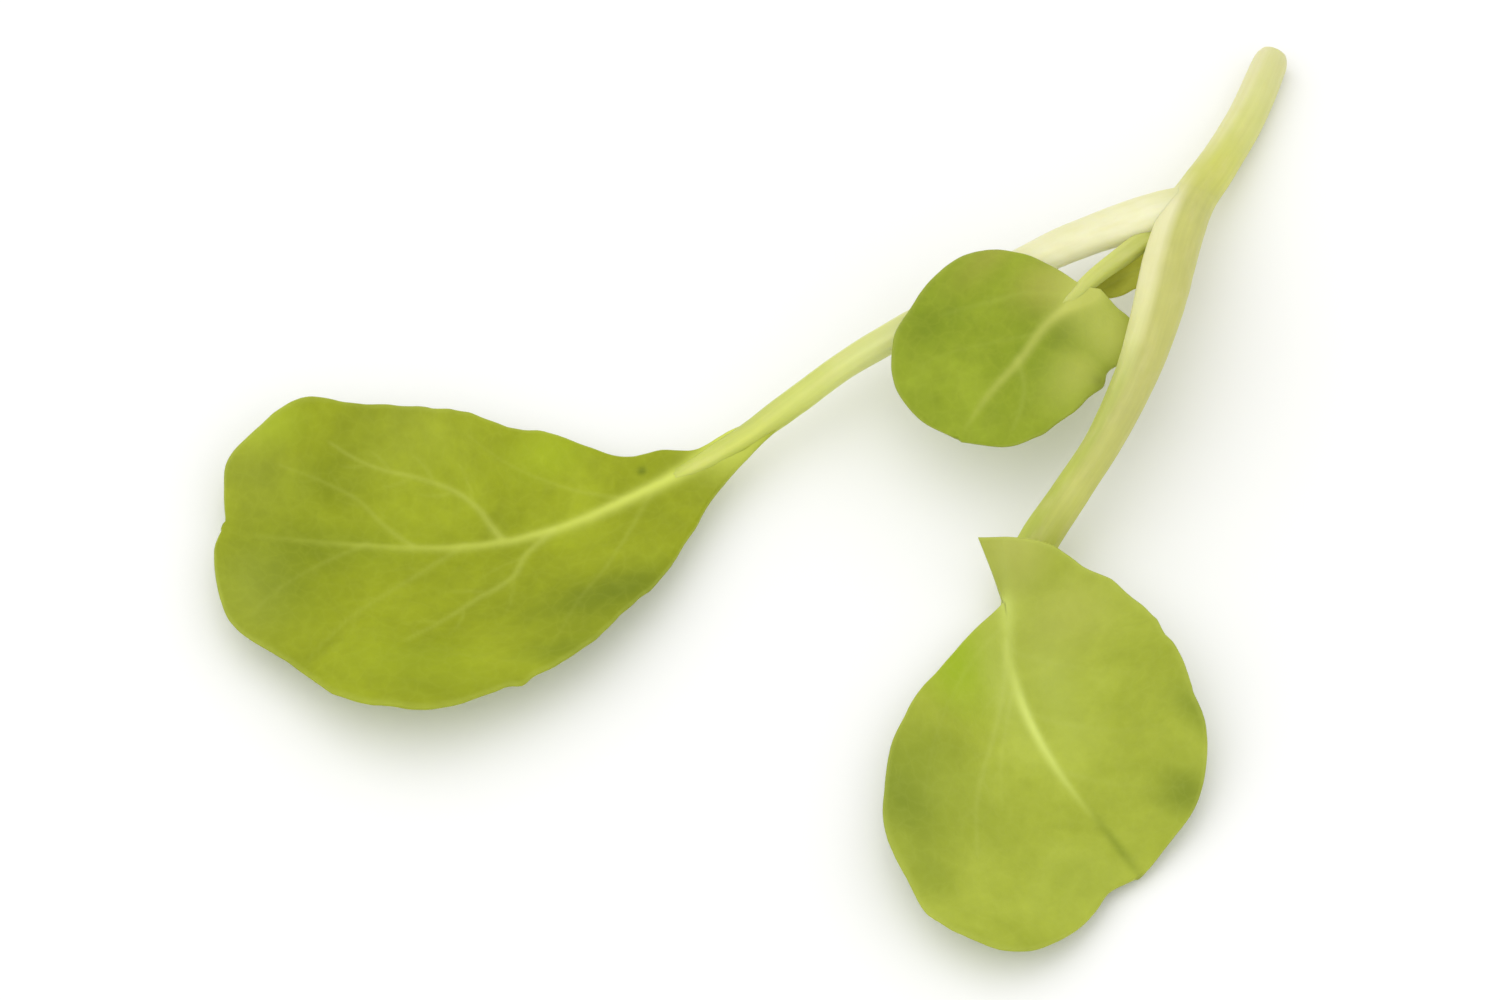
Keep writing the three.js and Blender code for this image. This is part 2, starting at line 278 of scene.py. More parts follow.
def stalkMaterial(name, look):
    material, tree, shader = newMaterial(name)
    place = readMark(tree, "stalkPlace", "Vector")
    share = readMark(tree, "share")
    flank = readMark(tree, "flank")
    # The two flank colours: the stalk's own colour, with painted light and painted shade that make one
    # flank lighter than the other
    side = ramp(tree, flank, [(look["band"][0], 0.0), (look["band"][1], 1.0)])
    base = blendIn(tree, ramp(tree, share, look["right"]), ramp(tree, share, look["left"]), side)
    wings = maths(tree, "MULTIPLY", ramp(tree, flank, stalkFinish["wings"]),
                  ramp(tree, share, look["wingOver"]))
    base = blendIn(tree, base, look["wing"], wings)
    cloud = ramp(tree, noiseOf(tree, place, stalkFinish["cloudScale"], 3.0), [(0.3, 0.42), (0.7, 0.58)])
    base = blendIn(tree, base, cloud, stalkFinish["clouds"], "OVERLAY")
    blush = noiseOf(tree, stretch(tree, place, stalkFinish["blushStretch"]), 1.0, 4.0, 0.6)
    base = blendIn(tree, base, stalkFinish["blush"], ramp(tree, blush, [(0.5, 0.0), (0.75, 0.3)]))
    fibres = noiseOf(tree, stretch(tree, place, stalkFinish["fibreStretch"]), 1.0, 5.0, 0.6)
    fibreTone = ramp(tree, fibres, [(0.32, 0.36), (0.68, 0.64)])
    base = blendIn(tree, base, fibreTone, stalkFinish["fibres"], "OVERLAY")
    tree.links.new(base, shader.inputs["Base Color"])
    smooth, rough = stalkFinish["gloss"]
    gloss = ramp(tree, noiseOf(tree, place, 2.2, 3.0), [(0.3, smooth), (0.7, rough)])
    tree.links.new(gloss, shader.inputs["Roughness"])
    setInputs(shader, Subsurface_Weight=stalkFinish["glow"], Subsurface_Radius=stalkFinish["glowReach"])
    setInputs(shader, Subsurface_Scale=stalkFinish["depthOfGlow"] * mm,
              Specular_IOR_Level=stalkFinish["specular"])
    setInputs(shader, Coat_Weight=stalkFinish["coat"][0], Coat_Roughness=stalkFinish["coat"][1])
    cells = noiseOf(tree, stretch(tree, place, stalkFinish["cellStretch"]), 1.0, 4.0, 0.6)
    addBump(tree, shader, [(fibres, *stalkFinish["fibreRelief"]), (cells, *stalkFinish["cellRelief"])])
    return material


def endTaper(stalk, share):  # 1 along the stalk, smaller where its two ends round off
    intoEnd = np.clip((share - stalk["roundFrom"]) / (1 - stalk["roundFrom"]), 0, 1)
    intoStart = np.clip(1 - share / stalk["startRound"], 0, 1)
    atEnd = np.sqrt(1 - intoEnd**2 * (1 - stalk["endShare"] ** 2))
    return atEnd * np.sqrt(1 - intoStart**2 * (1 - stalk["startShare"] ** 2))


def stalkMesh(name, stalk, materials):
    line = smoothLine(stalk["path"])
    steps, sides = stalk["steps"], stalk["sides"]
    share = np.linspace(0, 1, steps + 1)
    first, last = stalk["part"]
    place = first + (last - first) * share  # the same place as a share of the whole path
    left, normal = axesAlong(line, stalk["upper"], place)
    angle = np.arange(sides) / sides * 2 * math.pi
    across, height = np.cos(angle), np.sin(angle)
    taper = endTaper(stalk, share)
    halfWidth = (smoothValue(stalk["halfWidth"], share) * taper)[:, None]
    halfDepth = (smoothValue(stalk["halfDepth"], share) * taper)[:, None]
    hollow = np.exp(-((across / stalkForm["channelWidth"]) ** 2)) * np.clip(height * 2, 0, 1)
    dip = smoothValue(stalk["channel"], place)[:, None] * np.where(height > 0, hollow, 0)
    ring = pointAt(line, place)[:, None] + left[:, None] * (halfWidth * across)[..., None]
    ring = ring + normal[:, None] * (halfDepth * (height - dip))[..., None]
    outward = unit(left[:, None] * across[:, None] + normal[:, None] * height[:, None])
    along = np.repeat((place * line["length"])[:, None], sides, 1)
    flat = np.stack([along, halfWidth * across, halfDepth * height], -1)
    sway = stalkForm["ridgeSway"] * np.sin(angle * 3)
    ridges = np.cos(angle * stalk["ridges"] + sway)[None, :] * stalk["ridgeHeight"]
    lumps = roughness3d(flat, stalkForm["lumpSize"], 3, stalk["seed"]) * stalk["lumps"]
    ring = ring + outward * ((ridges + lumps) * taper[:, None] ** 2)[..., None]
    marks = {
        "stalkPlace": flat.reshape(-1, 3),
        "share": np.repeat(place[:, None], sides, 1).ravel(),
        "flank": np.repeat((0.5 + 0.5 * across)[None, :], steps + 1, 0).ravel(),
    }
    return closeEnds(name, ring.reshape(-1, 3), ringFaces(steps + 1, sides), marks, sides, materials)


def closeEnds(name, points, faces, marks, sides, materials, capRings=4):  # with a disc of rings
    skins = [0] * len(faces)
    lastRing = len(points) - sides
    for end, ringStart in ((0, 0), (1, lastRing)):
        ring = np.arange(ringStart, ringStart + sides)
        centre = points[ring].mean(0)
        outer = ring
        for k in range(1, capRings + 1):
            shrink = 1 - k / capRings
            inmost = k == capRings
            fresh = centre[None, :] if inmost else centre + (points[ring] - centre) * shrink
            start = len(points)
            points = np.vstack([points, fresh])
            for mark, values in marks.items():
                held = values[ring]
                if mark == "stalkPlace":
                    held = held * np.array([1, shrink, shrink])
                if inmost:
                    held = held.mean(0, keepdims=True)
                marks[mark] = np.concatenate([values, held])
            for j in range(sides):
                a, b = outer[j], outer[(j + 1) % sides]
                face = (a, b, start) if inmost else (a, b, start + (j + 1) % sides, start + j)
                faces.append(face if end else face[::-1])
                skins.append(0 if end else len(materials) - 1)
            outer = np.arange(start, start + sides)
    whole = [tuple(int(v) for v in face) for face in faces]
    return makePiece(name, points, whole, skins, materials, marks)


mainAxis = [  # down the middle of the stem and on down the lower leaf's stalk
    (29.87, 28.75, 1.0), (28.2, 24.3, 1.2), (26.52, 20.7, 2.0), (25.12, 17.8, 3.05), (24.4, 15.4, 4.1),
    (23.8, 12.6, 5.15), (23.06, 8.7, 6.07), (21.9, 4.7, 6.14), (20.12, 1.0, 5.25), (18.08, -1.7, 3.6),
    (16.2, -4.0, 1.8), (15.2, -6.7, 1.0), (14.8, -8.9, 1.17), (14.83, -11.3, 1.15),
]

# From the cut to the blade, as a share of the half depth
mainChannel = [0.0, 0.0, 0.06, 0.14, 0.16, 0.16, 0.14, 0.05]

stemShape = {
    "path": mainAxis,
    "part": (0.0, 0.36),
    "halfWidth": [0.98, 1.06, 1.1, 1.15, 1.24, 1.34, 1.26],
    "halfDepth": [0.98, 1.06, 1.12, 1.17, 1.19, 1.16, 1.05],
    "upper": [(0, 0, 1), (0, 0, 1)],
    "channel": mainChannel,
    "startRound": 0.05,
    "startShare": 0.8,
    "roundFrom": 0.9,
    "endShare": 0.5,
    "ridges": 11,
    "ridgeHeight": 0.008,
    "lumps": 0.03,
    "seed": 11.0,
    "sides": 80,
    "steps": 150,
}

leftStalkShape = {
    "path": [(25.7, 18.7, 2.45), (24.3, 17.42, 3.52), (22.1, 16.33, 3.8), (17.7, 14.38, 3.94),
             (11.95, 10.85, 4.0), (5.9, 7.22, 3.5), (2.4, 4.66, 2.9), (-0.4, 2.6, 2.43),
             (-3.9, 0.6, 1.88), (-7.3, -1.0, 1.45), (-9.4, -1.85, 1.2)],
    "part": (0.0, 1.0),
    "halfWidth": [0.9, 1.28, 1.19, 1.07, 0.98, 0.89, 0.82, 0.8, 0.68, 0.33, 0.1],
    "halfDepth": [0.8, 0.95, 0.9, 0.85, 0.81, 0.78, 0.73, 0.66, 0.5, 0.28, 0.1],
    "upper": [(0, 0.2, 1), (0, 0, 1)],
    "channel": [0.1, 0.14, 0.14, 0.1, 0.0, 0.0],
    "startRound": 0.02,
    "startShare": 0.5,
    "roundFrom": 0.95,
    "endShare": 0.3,
    "ridges": 11,
    "ridgeHeight": 0.008,
    "lumps": 0.04,
    "seed": 7.0,
    "sides": 72,
    "steps": 280,
}

lowerStalkShape = {
    "path": mainAxis,
    "part": (0.193, 1.0),
    "halfWidth": [1.1, 1.33, 1.48, 1.5, 1.37, 1.2, 1.07, 1.12, 1.16, 0.76, 0.22],
    "halfDepth": [1.0, 1.19, 1.2, 1.11, 1.02, 0.92, 0.84, 0.76, 0.64, 0.48, 0.14],
    "upper": [(0, 0, 1), (0, 0, 1)],
    "channel": mainChannel,
    "startRound": 0.02,
    "startShare": 0.5,
    "roundFrom": 0.95,
    "endShare": 0.4,
    "ridges": 11,
    "ridgeHeight": 0.008,
    "lumps": 0.03,
    "seed": 11.0,
    "sides": 80,
    "steps": 260,
}

smallStalkShape = {
    "path": [(24.4, 16.9, 3.1), (23.4, 15.9, 3.5), (22.2, 14.6, 4.0), (20.9, 13.2, 4.5),
             (19.5, 11.7, 4.97), (18.4, 10.3, 5.27), (17.2, 8.9, 5.44), (16.0, 7.3, 5.5)],
    "part": (0.0, 1.0),
    "halfWidth": [0.6, 0.66, 0.64, 0.58, 0.52, 0.44, 0.28, 0.12],
    "halfDepth": [0.5, 0.53, 0.5, 0.46, 0.39, 0.29, 0.17, 0.07],
    "upper": [(0, 0, 1), (0, 0, 1)],
    "channel": [0.25, 0.25, 0.15, 0.0],
    "startRound": 0.02,
    "startShare": 0.6,
    "roundFrom": 0.88,
    "endShare": 0.4,
    "ridges": 7,
    "ridgeHeight": 0.01,
    "lumps": 0.02,
    "seed": 15.0,
    "sides": 48,
    "steps": 90,
}

mainLook = {
    # The stalk's own cream and green, with a painted highlight on the right flank and painted shade on
    # the left flank
    "right": [(0.0, "#d6d3a2"), (0.162, "#d2d18c"), (0.234, "#c7c86c"), (0.27, "#d2d08a"),
              (0.306, "#dedba8"), (0.45, "#dcd9a2"), (0.54, "#cfd088"), (0.603, "#b4ba60"),
              (0.72, "#b0b850"), (0.86, "#b4be4c"), (1.0, "#b8c060")],
    "left": [(0.0, "#d0cf94"), (0.126, "#cbcd7a"), (0.216, "#c6c860"), (0.297, "#bcbc66"),
             (0.45, "#bcbb6a"), (0.63, "#b9b96a"), (0.765, "#bcbf60"), (0.855, "#bcc354"),
             (1.0, "#b8c060")],
    "band": (0.3, 0.5),  # from the side where the right colours end to where the left ones are full
    "wing": "#a6b03c",
    "wingOver": [(0.8, 0.0), (0.9, 0.4)],  # green edges, from the place where they start
}
cutLook = {
    "right": [(0.0, "#dedaba"), (1.0, "#dedaba")],
    "left": [(0.0, "#d6d3a0"), (1.0, "#d6d3a0")],
    "band": (0.3, 0.8),
    "wing": "#d6d3a0",
    "wingOver": [(0.0, 0.0), (1.0, 0.0)],
}
leftStalkLook = {
    # The stalk's own cream and green, with the left flank painted lighter to lift the shade on its lower
    # side
    "right": [(0.0, "#cccb80"), (0.1, "#e0deae"), (0.3, "#dedcae"), (0.45, "#d2d490"), (0.62, "#c2c966"),
              (0.75, "#bcc360"), (0.85, "#bac350"), (1.0, "#c4cd50")],
    "left": [(0.0, "#c8c778"), (0.1, "#e9e7c0"), (0.3, "#e8e6bc"), (0.45, "#dcdea0"), (0.62, "#d0d678"),
             (0.75, "#cbd166"), (0.85, "#c6ce5e"), (1.0, "#c8d054")],
    "band": (0.2, 0.7),
    "wing": "#a3ae2e",
    "wingOver": [(0.62, 0.0), (0.76, 0.9)],
}
smallStalkLook = {
    "right": [(0.0, "#bcc068"), (0.3, "#c0c566"), (0.6, "#c6cb6c"), (1.0, "#bcc35c")],
    "left": [(0.0, "#a8ae54"), (0.3, "#b4ba5c"), (1.0, "#bac15a")],
    "band": (0.5, 1.0),
    "wing": "#a3ad3e",
    "wingOver": [(0.4, 0.0), (0.7, 0.5)],
}
mainSkin = stalkMaterial("stem and lower stalk skin", mainLook)
cutFace = stalkMaterial("stem cut face", cutLook)
leftStalkSkin = stalkMaterial("left stalk skin", leftStalkLook)
smallStalkSkin = stalkMaterial("small stalk skin", smallStalkLook)

standIn(stalkMesh("cutStem", stemShape, [mainSkin, cutFace]), "cut_stem")
standIn(stalkMesh("leftLeafStalk", leftStalkShape, [leftStalkSkin]), "left_leaf_stalk")
standIn(stalkMesh("lowerLeafStalk", lowerStalkShape, [mainSkin]), "lower_leaf_stalk")
standIn(stalkMesh("smallLeafStalk", smallStalkShape, [smallStalkSkin]), "small_leaf_stalk")
print("stem and stalks made")


# The blades

bladeFinish = {
    "cloudScale": 0.16,
    "mottleScale": 1.1,
    "grainScale": 9.0,
    "shadeAndLightAmount": 0.8,  # of the painted shade, painted light and dark spot patches
    "net": [(0.0, 1.0), (0.09, 0.25), (0.2, 0.0)],  # the finest veins, by the distance from their middle
    "netBend": 0.9,
    "netRelief": {"above": -0.2, "below": 0.6},  # sunk in above, raised below
    "glossSpread": (-0.06, 0.08),
    "glow": 0.18,
    "depthOfGlow": 0.3,  # mm
    "glowReach": (1.0, 1.0, 0.3),
}

bladeForm = {  # what all blades share
    "crowding": 1.3,  # above 1, the points stand closer together at the midrib
    "otherHalf": 2.1,  # how far the right half's waves run ahead of the left half's, in radians
    "raggedSize": 0.9,  # mm
    "raggedBias": 0.35,
    "flatByRib": 1.6,  # mm beside the midrib where the skin isn't puckered yet
    "calmByRib": 2.5,  # mm beside the midrib where the leaf doesn't roll yet
    "dimpleSize": 1.3,  # mm
    "keelSpread": 1.25,  # width of the keel below, against the ridge above
    "ribToneSpread": 0.8,
    "thinning": 0.45,  # share of the thickness that is lost at the edge
    "rim": 0.2,  # of the thickness
    "veinsEnd": 0.12,  # from the edge, as a share of the half width
    "margin": 0.035,  # the same, for the pale edge line
}

veinForm = {
    "thinning": 0.55,  # share of the width that is lost along a vein
    "fading": 0.6,
    "firstTwig": 0.22,  # as a share of the vein's length
    "twigSpan": 0.7,
    "twigTurn": 0.85,  # radians away from the vein
    "twigBend": 0.35,  # share of that turn lost along the twig
    "twigReach": (1.1, 0.6),  # at the vein's start, and how much of it is lost along the vein
    "twigWidth": 0.55,
    "twigStrength": 0.35,
}


def netOf(tree, place, scale):  # a net of fine veins, bent by soft noise
    cells = addNode(tree, "ShaderNodeTexVoronoi", feature="DISTANCE_TO_EDGE")
    setInputs(cells, Scale=scale)
    bend = addNode(tree, "ShaderNodeTexNoise")
    setInputs(bend, Scale=bladeFinish["netBend"], Detail=2.0)
    tree.links.new(place, bend.inputs["Vector"])
    shifted = addNode(tree, "ShaderNodeVectorMath", operation="ADD")
    tree.links.new(place, shifted.inputs[0])
    tree.links.new(bend.outputs["Color"], shifted.inputs[1])
    tree.links.new(shifted.outputs[0], cells.inputs["Vector"])
    return ramp(tree, cells.outputs["Distance"], bladeFinish["net"])


def bladeMaterial(name, look, side="above"):
    material, tree, shader = newMaterial(name)
    place = readMark(tree, "leafPlace", "Vector")
    shadeLightAndSpots = readMark(tree, "shadeLightAndSpots")
    cloud = noiseOf(tree, place, bladeFinish["cloudScale"], 4.0, 0.5, 0.6)
    base = ramp(tree, cloud, [(0.32, look["deep"]), (0.5, look["green"]), (0.7, look["fresh"])])
    mottle = noiseOf(tree, place, bladeFinish["mottleScale"], 5.0, 0.6)
    base = blendIn(tree, base, ramp(tree, mottle, [(0.3, 0.4), (0.7, 0.6)]), look["mottle"], "OVERLAY")
    # Painted shade and painted light from the blade's patches, with a few real dark spots among the dark
    # ones
    shadeAndSpotShare = maths(tree, "MULTIPLY", ramp(tree, shadeLightAndSpots, [(0.0, 1.0), (0.5, 0.0)]),
                   bladeFinish["shadeAndLightAmount"])
    paintedLightShare = maths(tree, "MULTIPLY", ramp(tree, shadeLightAndSpots, [(0.5, 0.0), (1.0, 1.0)]),
                     bladeFinish["shadeAndLightAmount"])
    base = blendIn(tree, base, look["shadeAndSpotColour"], shadeAndSpotShare)
    base = blendIn(tree, base, look["paintedLightColour"], paintedLightShare)
    base = blendIn(tree, base, look["warm"], readMark(tree, "warmth"))
    base = blendIn(tree, base, look["pale"], readMark(tree, "paleness"))
    net = netOf(tree, place, look["netScale"])
    base = blendIn(tree, base, look["net"], maths(tree, "MULTIPLY", net, look["netAmount"]))
    veins = maths(tree, "MULTIPLY", readMark(tree, "vein"), look["veinAmount"])
    base = blendIn(tree, base, look["vein"], veins)
    base = blendIn(tree, base, look["rib"], readMark(tree, "rib"))
    margin = maths(tree, "MULTIPLY", readMark(tree, "edge"), look["marginAmount"])
    base = blendIn(tree, base, look["margin"], margin)
    tree.links.new(base, shader.inputs["Base Color"])
    smooth, rough = [look["roughness"] + spread for spread in bladeFinish["glossSpread"]]
    gloss = ramp(tree, noiseOf(tree, place, 0.8, 4.0), [(0.3, smooth), (0.7, rough)])
    tree.links.new(gloss, shader.inputs["Roughness"])
    setInputs(shader, Subsurface_Weight=bladeFinish["glow"], Subsurface_Radius=bladeFinish["glowReach"])
    setInputs(shader, Subsurface_Scale=bladeFinish["depthOfGlow"] * mm,
              Specular_IOR_Level=look["specular"])
    grain = noiseOf(tree, place, bladeFinish["grainScale"], 3.0, 0.6)
    netRelief = (net, bladeFinish["netRelief"][side], 0.04)
    addBump(tree, shader, [netRelief, (mottle, 0.4, 0.08), (grain, 0.3, 0.02)])
    return material


def grownOut(blade, along):  # 0 where the stalk still hides the blade's middle, 1 where it stands free
    first, last = blade["ridgeFrom"]
    t = np.clip((along - first) / (last - first), 0, 1)
    return t * t * (3 - 2 * t)


def bladeSurface(blade, line, toLeft, along, across):  # middle of the blade, before its relief
    share = along / line["length"]
    left, normal = axesAlong(line, blade["upper"], share)
    half = "left" if toLeft > 0 else "right"
    rise = smoothValue(blade["rise"][half], share)
    widest = max(corner[1] for corner in blade[half])
    edgeShare = (np.maximum(0, across) / widest) ** 2
    wave = blade["wave"]
    turn = 2 * math.pi * wave["count"] * share + wave["phase"]
    turn = turn + (0 if toLeft > 0 else bladeForm["otherHalf"])
    soft = np.sqrt(across**2 + blade["soft"] ** 2) - blade["soft"]
    height = soft * np.sin(rise) + blade["cup"] * across**2 + wave["depth"] * edgeShare * np.sin(turn)
    behind = (np.sqrt(along**2 + blade["soft"] ** 2) - along) / 2  # a lobe behind the midrib's start
    away = 1 - np.exp(-(np.minimum(along, 0) ** 2 + across**2))
    height = height + blade["lobeLift"][half] * behind * away
    aside = left * (toLeft * across * np.cos(rise))[..., None]
    return pointAt(line, share) + aside + normal * height[..., None]


def bladeNormal(blade, line, toLeft, along, across, step=0.05):
    def at(alongStep, acrossStep):
        return bladeSurface(blade, line, toLeft, along + alongStep, across + acrossStep)

    ahead = at(step, 0) - at(-step, 0)
    aside = at(0, step) - at(0, -step)
    return unit(np.cross(ahead, aside) * toLeft)


def veinField(blade, along, signed):  # distance to the nearest vein, and how strong the veins are here
    nearest = np.full(along.shape, 99.0)
    strength = np.zeros(along.shape)
    for toLeft, veins in ((1, blade["veins"]["left"]), (-1, blade["veins"]["right"])):
        for main in veins:
            mainLine = smoothLine([(a, toLeft * b) for a, b in main["path"]], 12)
            branches = [(mainLine["samples"][:, :2], main["width"], main["strength"])]
            branches += twigs(mainLine, main)
            for path, width, power in branches:
                gone = np.linspace(0, 1, len(path))
                for k in range(len(path) - 1):
                    a, b = path[k], path[k + 1]
                    ab = b - a
                    t = ((along - a[0]) * ab[0] + (signed - a[1]) * ab[1]) / max(ab @ ab, 1e-9)
                    t = np.clip(t, 0, 1)
                    d = np.hypot(along - a[0] - t * ab[0], signed - a[1] - t * ab[1])
                    here = gone[k] + (gone[k + 1] - gone[k]) * t
                    wide = width * (1 - veinForm["thinning"] * here)
                    felt = power * (1 - veinForm["fading"] * here) * np.exp(-((d / wide) ** 2))
                    strength = np.maximum(strength, felt)
                    nearest = np.minimum(nearest, d)
    return nearest, strength


def vein(path, width, strength, twigs, twigReach):  # lengths in mm, strength from 0 to 1
    return {"path": path, "width": width, "strength": strength, "twigs": twigs, "twigReach": twigReach}


def twigs(mainLine, main):  # short side veins that spring from a vein by turns
    made = []
    full, lost = veinForm["twigReach"]
    width, strength = main["width"] * veinForm["twigWidth"], main["strength"] * veinForm["twigStrength"]
    for k in range(main["twigs"]):
        share = veinForm["firstTwig"] + veinForm["twigSpan"] * k / main["twigs"]
        root = pointAt(mainLine, share)[:2]
        ahead = unit((pointAt(mainLine, min(1, share + 0.03)) - pointAt(mainLine, share - 0.03))[:2])
        turn = (1 if k % 2 else -1) * veinForm["twigTurn"]
        reach = main["twigReach"] * (full - lost * share)
        points = []
        for s in (0.0, 0.35, 0.7, 1.0):
            bend = turn * (1 - veinForm["twigBend"] * s)
            c, d = math.cos(bend), math.sin(bend)
            heading = np.array([ahead[0] * c - ahead[1] * d, ahead[0] * d + ahead[1] * c])
            points.append(root + heading * reach * s)
        made.append((np.array(points), width, strength))
    return made


def aroundBlade(above, below, rim):  # rings that go over the top, round the edge and back below
    return np.concatenate([above, rim[:, 1:], below[:, ::-1], rim[:, :1]], 1)


def bladeHalf(blade, line, toLeft, share):  # one side of the midrib: a row of points for each share
    half = "left" if toLeft > 0 else "right"
    length = line["length"]
    outline = pointByStep(smoothLine(blade[half]), share)
    swell = np.sin(math.pi * share)  # no teeth at the two ends
    toothed = 1 - np.abs(((share * blade["teeth"]["count"]) % 1) * 2 - 1)
    tooth = blade["teeth"]["depth"] * toothed * swell
    spots = [Vector((s * length / bladeForm["raggedSize"], 3.0 * toLeft, blade["seed"])) for s in share]
    ragged = np.array([noise.noise(spot) for spot in spots])
    tooth = tooth - blade["ragged"] * np.clip(ragged + bladeForm["raggedBias"], 0, 1) * swell
    for nick in blade["nicks"][half]:
        tooth = tooth - nick["depth"] * np.exp(-(((share - nick["at"]) / nick["width"]) ** 2))
    outs = np.linspace(0, 1, blade["columns"] + 1) ** bladeForm["crowding"]
    inward = blade["start"] + share * (length - blade["tipNotch"] - blade["start"])
    along = inward[:, None] * (1 - outs) + outline[:, 0][:, None] * outs
    across = (outline[:, 1] + tooth)[:, None] * outs
    middle = bladeSurface(blade, line, toLeft, along, across)
    normal = bladeNormal(blade, line, toLeft, along, across)
    normal[:, 0] = bladeNormal(blade, line, 1, along[:, 0], across[:, 0])
    normal[:, 0] = unit(normal[:, 0] + bladeNormal(blade, line, -1, along[:, 0], across[:, 0]))
    return [along, across * toLeft, middle, normal, np.tile(outs, (len(share), 1))]


def bladeFaces(rows, wide, around):  # faces between the rings and over the two ends, and their skins
    faces = ringFaces(rows + 1, around)
    skins = ([0] * (wide + 1) + [1] * (wide - 1) + [0, 0]) * rows
    for row in (0, rows):
        first = row * around
        ends = []
        for j in range(-1, wide - 1):
            k = around - 2 - j
            end = (first + j % around, first + j + 1, first + k - 1, first + k % around)
            ends.append(end[:3] if j == -1 else end)
        ends.append((first + wide - 1, first + wide, first + wide + 1))
        faces += [end if row else end[::-1] for end in ends]
        skins += [0] * len(ends)
    return faces, skins


def patch(at, size, amount):  # a soft oval patch of colour on a blade, in mm along and across it
    return {"at": at, "size": size, "amount": amount}


def feltAt(spot, along, signed):
    offAlong = (along - spot["at"][0]) / spot["size"][0]
    offAcross = (signed - spot["at"][1]) / spot["size"][1]
    return spot["amount"] * np.exp(-(offAlong**2) - offAcross**2)


def strongest(patches, along, signed):
    wash = np.zeros(along.shape)
    for spot in patches:
        wash = np.maximum(wash, feltAt(spot, along, signed))
    return wash


def bladeMesh(name, blade, materials):
    line = smoothLine(blade["midrib"])
    rows = blade["rows"]
    share = np.linspace(0, 1, rows + 1)
    leftHalf, rightHalf = [bladeHalf(blade, line, toLeft, share) for toLeft in (1, -1)]
    joined = [np.concatenate([a[:, ::-1], b[:, 1:]], 1) for a, b in zip(leftHalf, rightHalf)]
    along, signed, middle, normal, out = joined
    nearest, strength = veinField(blade, along, signed)
    inner = np.clip((1 - out) / bladeForm["veinsEnd"], 0, 1)
    ribShare = np.clip(along / line["length"], 0, 1)
    crown = smoothValue(blade["ridge"]["side"], ribShare)  # the ridge runs a little beside the keel below
    behindStart = np.minimum(0, along - blade["start"])
    fromKeel = np.hypot(signed, behindStart)
    fromRib = np.hypot(signed - crown, behindStart)
    flat = np.stack([along, signed, np.zeros_like(along)], -1)
    pillow = 1 - np.exp(-((nearest / blade["pillow"]["width"]) ** 2))
    pillow = pillow * (1 - np.exp(-((fromRib / bladeForm["flatByRib"]) ** 2)))
    dimples = roughness3d(flat, bladeForm["dimpleSize"], 3, blade["seed"] + 9) * blade["dimples"]
    rolling = roughness3d(flat, blade["rolling"]["size"], 2, blade["seed"]) * blade["rolling"]["height"]
    lift = blade["pillow"]["height"] * pillow * (0.4 + 0.6 * inner) + dimples
    lift = lift + rolling * (1 - np.exp(-((fromRib / bladeForm["calmByRib"]) ** 2)))
    ribWidth = smoothValue(blade["ridge"]["halfWidth"], ribShare)
    keelWidth = ribWidth * bladeForm["keelSpread"]
    free = grownOut(blade, along)
    ridge = smoothValue(blade["ridge"]["above"], ribShare) * np.exp(-((fromRib / ribWidth) ** 2)) * free
    keel = smoothValue(blade["ridge"]["below"], ribShare) * np.exp(-((fromKeel / keelWidth) ** 2)) * free
    thick = blade["thickness"] * (1 - bladeForm["thinning"] * out**3) / 2
    veinAbove, veinBelow = [strength * relief * inner for relief in blade["veinRelief"]]
    above = middle + normal * (thick + lift + ridge + veinAbove)[..., None]
    below = middle + normal * (lift - thick - keel - veinBelow)[..., None]
    rimOut = unit(middle[:, [0, -1]] - middle[:, [1, -2]])
    rim = (above[:, [0, -1]] + below[:, [0, -1]]) / 2 + rimOut * blade["thickness"] * bladeForm["rim"]
    rings = aroundBlade(above, below, rim)
    faces, skins = bladeFaces(rows, along.shape[1], rings.shape[1])
    # painted shade and painted light on the curved blade, and small dark spots
    shadeLightAndSpots = np.full(along.shape, 0.5)
    for spot in blade["shadeLightAndSpotPatches"]:
        shadeLightAndSpots = shadeLightAndSpots + feltAt(spot, along, signed)
    ribTone = np.exp(-((fromRib / (ribWidth * bladeForm["ribToneSpread"])) ** 2))
    ribTone = smoothValue(blade["ridge"]["pale"], ribShare) * ribTone
    fromStart = np.hypot(along, signed) / blade["paleBase"]["reach"]
    ribTone = ribTone + blade["paleBase"]["amount"] * np.exp(-(fromStart**2))
    marks = {
        "leafPlace": flat,
        "vein": strength * inner,
        "shadeLightAndSpots": np.clip(shadeLightAndSpots, 0, 1),
        "edge": np.clip((out - (1 - bladeForm["margin"])) / bladeForm["margin"], 0, 1),
        "rib": np.clip(ribTone, 0, 1),
        "warmth": strongest(blade["warmth"], along, signed),
        "paleness": strongest(blade["paleness"], along, signed),
    }
    allMarks = {}
    for mark, values in marks.items():
        spread = aroundBlade(values, values, values[:, [0, -1]])
        allMarks[mark] = spread.reshape(-1, 3) if values.ndim == 3 else spread.ravel()
    return makePiece(name, rings.reshape(-1, 3), faces, skins, materials, allMarks)


